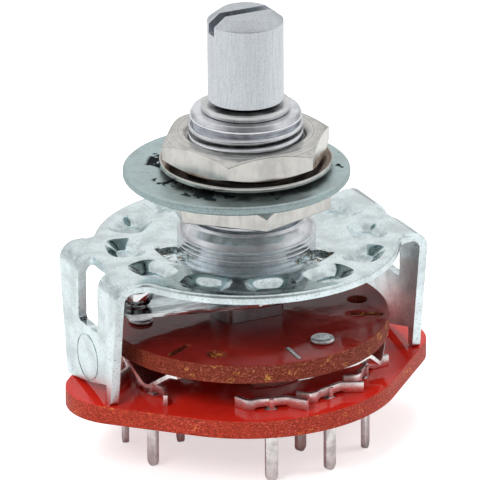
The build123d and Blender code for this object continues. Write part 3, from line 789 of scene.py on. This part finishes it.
def spun(name, profile_mm, segments=160, centre=(0.0, 0.0)):
    """A closed mesh of revolution from radius and height points in mm."""
    form = bmesh.new()
    rings = []
    for radius, z in profile_mm:
        turns = segments if radius > 0 else 1
        rings.append([
            form.verts.new((
                (centre[0] + radius * math.cos(math.tau * k / segments)) * MM,
                (centre[1] + radius * math.sin(math.tau * k / segments)) * MM,
                z * MM,
            )) for k in range(turns)
        ])
    for lower, upper in zip(rings, rings[1:] + rings[:1]):
        for k in range(segments):
            loop = [lower[k % len(lower)], lower[(k + 1) % len(lower)],
                    upper[(k + 1) % len(upper)], upper[k % len(upper)]]
            unique = list(dict.fromkeys(loop))
            if len(unique) > 2:
                form.faces.new(unique)
    bmesh.ops.recalc_face_normals(form, faces=form.faces)
    for face in form.faces:
        face.smooth = True
    mesh = bpy.data.meshes.new(name)
    form.to_mesh(mesh)
    form.free()
    mesh.set_sharp_from_angle(angle=EDGE_ANGLE)
    return mesh


# %% Turn the bushing and wind its thread
ROOT_R, LAND_R, PITCH = 4.20, 4.42, 0.75                # mm
THREAD_FOOT, THREAD_SHORT = 2.5, 0.7    # turns are counted from here to this far below the top
NECK_R, STAKED_R, STAKED_EDGE_R = 4.6, 5.3, 5.12        # in the plate, and spread under it
PLATE_SEAT, PLATE_UNDER = -0.25, -0.95                  # the plate's faces, in its shallow well
TOOL_GROOVES = (                                        # heights and depth, round the collar
    (1.02, 0.96, 0.90, 0.08), (0.66, 0.60, 0.54, 0.09), (0.24, 0.17, 0.10, 0.07),
)
low, high = (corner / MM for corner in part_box("bushing"))
top, bottom = high.z, low.z
COLLAR_R, COLLAR_TOP, BORE_R = high.x, 2.2, 3.05
threaded = [
    (BORE_R, top), (ROOT_R, top), (LAND_R, top - 0.38), (LAND_R, top - 0.55),
    (ROOT_R, top - 0.9), (ROOT_R, COLLAR_TOP),
]
shoulder = [
    (COLLAR_R - 0.80, COLLAR_TOP), (COLLAR_R - 0.70, COLLAR_TOP - 0.26),
    (COLLAR_R - 0.22, COLLAR_TOP - 0.78),
]
grooves = [
    spot for upper, middle, lower, deep in TOOL_GROOVES
    for spot in ((COLLAR_R, upper), (COLLAR_R - deep, middle), (COLLAR_R, lower))
]
staked = [
    (COLLAR_R, PLATE_SEAT), (NECK_R, PLATE_SEAT), (NECK_R, PLATE_UNDER),
    (STAKED_R, PLATE_UNDER), (STAKED_EDGE_R, bottom), (BORE_R, bottom),
]
barrel = rounded(threaded + shoulder + grooves + staked, 0.06, 3)
bushing = new_piece("bushing_barrel", spun("bushing_barrel", barrel))
adopt(bushing, "bushing")
grown("bushing_thread", thread_tree(), ["bushing"],
      Turns=(top - THREAD_SHORT - THREAD_FOOT) / PITCH)

# %% [markdown]
# ## Contacts, pins and their places round the shaft
# The switch has three poles with three ways each, and every pole has one common contact. The
# fixed contacts are identical strips of silvered brass, kinked in plan so that the wiper always
# meets fresh metal, and each ends in a flat pin. One small tree places whatever it is given
# round the shaft; the trees of strips, pins and rivets use it.

# %% Place round the shaft
WAYS, WAY_STEP, FIRST_WAY = 3, 30.0, -45.0      # degrees
ROUND_THE_SHAFT = {
    "Poles": 3, "Pole_Step": 120.0, "Ways": WAYS, "Way_Step": WAY_STEP, "First": FIRST_WAY,
}


def placing_tree():
    """Copies of the given geometry: groups round the shaft, and ways inside each group."""
    place = Growth("round_the_shaft", **ROUND_THE_SHAFT)
    ways = place.given("Ways")
    points = place.node("GeometryNodePoints", None, {"Count": place.given("Poles") * ways})
    index = place.node("GeometryNodeInputIndex")
    pole = ((index + 0.5) / ways).math("FLOOR")
    way = index - pole * ways
    degrees = place.given("First") + pole * place.given("Pole_Step")
    degrees = degrees - way * place.given("Way_Step")
    placed = place.node("GeometryNodeInstanceOnPoints", None, {
        "Points": points, "Instance": place.given("Geometry"),
        "Rotation": place.vector(0.0, 0.0, degrees * math.radians(1)),
    })
    place.tree.links.new(placed.socket, place.outlet.inputs[0])
    return place.tree


PLACING = placing_tree()


def placed(tree, geometry):
    """Use the placing tree inside another one, with inputs of the same names."""
    inputs = {title: tree.given(title) for title in ROUND_THE_SHAFT}
    inputs["Geometry"] = geometry
    return tree.node("GeometryNodeGroup", {"node_tree": PLACING}, inputs)


# %% Strips on edge
def rounded_section(tree, width, tall, corner):
    """A rectangle with rounded corners, for Curve to Mesh."""
    box = tree.node("GeometryNodeCurvePrimitiveQuadrilateral", {"mode": "RECTANGLE"},
                    {"Width": width, "Height": tall})
    return tree.node("GeometryNodeFilletCurve", {"mode": "POLY"},
                     {"Curve": box, "Radius": corner, "Count": 3})


STRIP_STEP, STRIP_CORNER, ARCH_FADE = 0.08 * MM, 0.07 * MM, 0.35 * MM


def strip_tree():
    """A strip that stands on edge along a path, with a slight arch under its middle."""
    strip = Growth(
        "strip_on_edge", Bend=0.7 * MM, Thick=0.34 * MM, Tall=0.9 * MM, Foot=-10.45 * MM,
        Arch=0.2 * MM, Arch_Half=1.5 * MM, **ROUND_THE_SHAFT, Finish=None,
    )
    path = strip.node("GeometryNodeMeshToCurve", None, {0: strip.given("Geometry")})
    path = strip.node("GeometryNodeFilletCurve", {"mode": "POLY"}, {
        "Curve": path, "Radius": strip.given("Bend"), "Count": 5, "Limit Radius": True,
    })
    path = strip.node("GeometryNodeResampleCurve", {"mode": "LENGTH"},
                      {"Curve": path, "Length": STRIP_STEP})
    path = strip.node("GeometryNodeSetCurveNormal", {"mode": "Z_UP"}, {0: path})
    section = rounded_section(strip, strip.given("Thick"), strip.given("Tall"), STRIP_CORNER)
    ribbon = strip.node("GeometryNodeCurveToMesh", None, {
        "Curve": path, "Profile Curve": section, "Fill Caps": True,
    })
    here = strip.node("ShaderNodeSeparateXYZ", None, {0: strip.node("GeometryNodeInputPosition")})
    side, z = abs(here.out("Y")), here.out("Z")
    under = z.band(0.0, -0.25 * MM)
    inner = side.band(strip.given("Arch_Half"), strip.given("Arch_Half") - ARCH_FADE)
    lift = strip.given("Foot") + strip.given("Tall") / 2 + under * inner * strip.given("Arch")
    ribbon = strip.node("GeometryNodeSetPosition", None, {
        "Geometry": ribbon, "Offset": strip.vector(0.0, 0.0, lift),
    })
    return strip.ends_with(placed(strip, ribbon))


def path_mesh(name, points_mm):
    """A chain of edges in plan, as the start of a strip."""
    mesh = bpy.data.meshes.new(name)
    edges = [(k, k + 1) for k in range(len(points_mm) - 1)]
    mesh.from_pydata([(x * MM, y * MM, 0.0) for x, y in points_mm], edges, [])
    return mesh


CONTACT_R, CONTACT_PIN_R, COMMON_R = 9.72, 9.85, 5.6
CONTACT_KINKS = ((-0.85, -2.6), (0.33, -1.75), (0.0, -1.0), (0.0, 1.3), (1.1, 2.7))
COMMON_HALF, COMMON_TURN, COMMON_STEPS = 37.0, 7.5, 12
contact_nodes = [f"contact_{p}_{w}" for p in (1, 2, 3) for w in (1, 2, 3)]
common_nodes = [f"common_{p}" for p in (1, 2, 3)]
common_first = FIRST_WAY - (WAYS - 1) / 2 * WAY_STEP
STRIPS = strip_tree()
contact_path = [(CONTACT_R + out, along) for out, along in CONTACT_KINKS]
grown("contact_strips", STRIPS, contact_nodes, path_mesh("contact_path", contact_path))
arc = [math.radians(COMMON_HALF * (2 * k / COMMON_STEPS - 1)) for k in range(COMMON_STEPS + 1)]
common_path = [(COMMON_R * math.cos(a), COMMON_R * math.sin(a)) for a in arc]
grown("common_strips", STRIPS, common_nodes, path_mesh("common_path", common_path),
      Ways=1, First=common_first, Arch=0.0)

# %% Flat pins with round tips
PIN_STEP, PIN_CORNER, NECK_FADE = 0.05 * MM, 0.08 * MM, 0.08 * MM
TIP_LEAST = 0.02        # keeps the very tip from closing to a point


def pin_tree():
    """A flat pin with a round tip, and with a narrow neck above its shoulder."""
    pin = Growth(
        "flat_pins", Radius=9.85 * MM, Wide=1.0 * MM, Thick=0.45 * MM, Neck=0.4 * MM,
        Top=-9.6 * MM, Shoulder=-10.5 * MM, Tip=-16.6 * MM, Round=0.5 * MM,
        **ROUND_THE_SHAFT, Finish=None,
    )
    line = pin.node("GeometryNodeCurvePrimitiveLine", {"mode": "POINTS"}, {
        "Start": pin.vector(0.0, 0.0, pin.given("Tip")),
        "End": pin.vector(0.0, 0.0, pin.given("Top")),
    })
    line = pin.node("GeometryNodeResampleCurve", {"mode": "LENGTH"},
                    {"Curve": line, "Length": PIN_STEP})
    section = rounded_section(pin, pin.given("Thick"), pin.given("Wide"), PIN_CORNER)
    blade = pin.node("GeometryNodeCurveToMesh", None, {
        "Curve": line, "Profile Curve": section, "Fill Caps": True,
    })
    position = pin.node("GeometryNodeInputPosition")
    here = pin.node("ShaderNodeSeparateXYZ", None, {0: position})
    x, y, z = here.out("X"), here.out("Y"), here.out("Z")
    short = (pin.given("Tip") + pin.given("Round") - z) / pin.given("Round")
    short = short.math("MAXIMUM", 0.0)
    width = (1 - short * short).math("MAXIMUM", TIP_LEAST).math("SQRT")
    neck = z.band(pin.given("Shoulder"), pin.given("Shoulder") + NECK_FADE)
    width = width * (1 - neck * (1 - pin.given("Neck") / pin.given("Wide")))
    blade = pin.node("GeometryNodeSetPosition", None, {
        "Geometry": blade,
        "Position": pin.vector(x + pin.given("Radius"), y * width, z),
    })
    return pin.ends_with(placed(pin, blade))


PINS = pin_tree()
grown("contact_pins", PINS, contact_nodes, Radius=CONTACT_PIN_R * MM)
grown("common_pins", PINS, common_nodes,
      Radius=COMMON_R * MM, Ways=1, First=common_first + COMMON_TURN)

# %% Rivets on the rotor
RIVET_R, RIVET_HEAD_R, RIVET_PITCH_R = 0.6, 0.97, 8.6
WIPER_LEAD, RIVET_TURN = 2.8, -30.3
disc_low, disc_top = (corner.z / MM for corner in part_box("rotor_disc"))
rivet_low, rivet_high = (corner.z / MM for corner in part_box("rivet_1"))
rivet_profile = rounded([
    (0, rivet_high - 0.05), (RIVET_HEAD_R * 0.55, rivet_high),
    (RIVET_HEAD_R - 0.1, rivet_high - 0.03), (RIVET_HEAD_R, rivet_high - 0.18),
    (RIVET_HEAD_R, disc_top + 0.05), (RIVET_R + 0.2, disc_top),
    (RIVET_R, disc_top - 0.2), (RIVET_R, disc_low - 0.31), (0.9, disc_low - 0.31),
    (0.75, rivet_low), (0, rivet_low),
], 0.09, 3)
rivet_mesh = spun("rivet_shape", rivet_profile, 48, (RIVET_PITCH_R, 0.0))


def rivet_tree():
    """One rivet for each pole."""
    rivets = Growth("rivets", **{**ROUND_THE_SHAFT, "Ways": 1, "Way_Step": 0.0}, Finish=None)
    return rivets.ends_with(placed(rivets, rivets.given("Geometry")))


grown("rivets", rivet_tree(), [f"rivet_{p}" for p in (1, 2, 3)], rivet_mesh,
      First=FIRST_WAY + WIPER_LEAD + RIVET_TURN)

# %% [markdown]
# ## Floor, sky and lamps
# Bright metal has hardly a colour of its own: it shows what stands around it. The sky is white
# behind, beside and above the switch and dims towards the camera's side, as in a studio where
# the camera and its black cloth stand there. Along the horizon, between the white table and the
# white ceiling, a greyer band of the room shows. That gives polished faces dark and light fields,
# and bends a soft grey line. The camera itself sees plain white, and the floor keeps the shadow.

# %% The floor
FLOOR_HALF = 0.25                       # m
FLOOR_GREY, FLOOR_GLOW = 0.64, 0.6      # the glow is seen by the camera alone
WHITE = (1.0, 1.0, 1.0, 1.0)
floor_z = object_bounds()[0].z
signs = ((-1, -1), (1, -1), (1, 1), (-1, 1))
corners = [(x * FLOOR_HALF, y * FLOOR_HALF, floor_z) for x, y in signs]
mesh = bpy.data.meshes.new("floor")
mesh.from_pydata(corners, [], [(0, 1, 2, 3)])
floor = bpy.data.objects.new("floor", mesh)
scene.collection.objects.link(floor)

pale = Finish("pale_floor", Base_Color=(*[FLOOR_GREY] * 3, 1.0), Roughness=1.0)
seen = pale.node("ShaderNodeLightPath").out("Is Camera Ray")
pale.shader.inputs["Emission Color"].default_value = WHITE
pale.feed(Emission_Strength=seen * FLOOR_GLOW)
mesh.materials.append(pale.material)

# %% The sky
DIM_SIDE = Vector((-0.42, -0.88, 0.22)).normalized()
SKY_LIGHT, SKY_WHITE, SKY_DIM = 0.50, 0.84, 0.22
SKY_EDGE = (0.2, 0.95)                  # where the sky starts and ends to dim, as a cosine
ROOM_CLIMB, ROOM_HALF, ROOM_FADE = 0.05, 0.06, 0.22
ROOM_DIM = 0.62                         # the room's brightness beside the sky's

sky = bpy.data.worlds.new("sky")
scene.world = sky
sky.use_nodes = True
paint = Wiring(sky.node_tree)
background = sky.node_tree.nodes["Background"]
toward = paint.node("ShaderNodeTexCoord").out("Generated")
facing = paint.node("ShaderNodeVectorMath", {"operation": "DOT_PRODUCT"}, {0: toward, 1: DIM_SIDE})
mirrored = facing.out("Value").band(*SKY_EDGE, SKY_WHITE, SKY_DIM)
climb = paint.node("ShaderNodeSeparateXYZ", None, {0: toward}).out("Z")
mirrored = mirrored * abs(climb - ROOM_CLIMB).band(ROOM_FADE, ROOM_HALF, 1.0, ROOM_DIM)
path = paint.node("ShaderNodeLightPath")
seen = path.out("Is Camera Ray")
shiny = path.out("Is Glossy Ray") + path.out("Is Transmission Ray")
strength = seen + (1 - seen) * (shiny * mirrored + (1 - shiny) * SKY_LIGHT)
sky.node_tree.links.new(strength.socket, background.inputs["Strength"])
background.inputs["Color"].default_value = WHITE


# %% The lamps
def softbox(name, place_mm, size_mm, watts):
    """A square area lamp that looks at the switch."""
    data = bpy.data.lights.new(name, "AREA")
    data.energy, data.size = watts, size_mm * MM
    lamp = bpy.data.objects.new(name, data)
    scene.collection.objects.link(lamp)
    lamp.location = Vector(place_mm) * MM
    lamp.rotation_euler = lamp.location.to_track_quat("Z", "Y").to_euler()
    lamp.visible_glossy = False     # polished faces show the sky alone


softbox("key_left", (-260, -120, 260), 180, 0.95)
softbox("fill_right", (280, -60, 160), 160, 0.4)
softbox("top", (40, 120, 330), 240, 0.95)
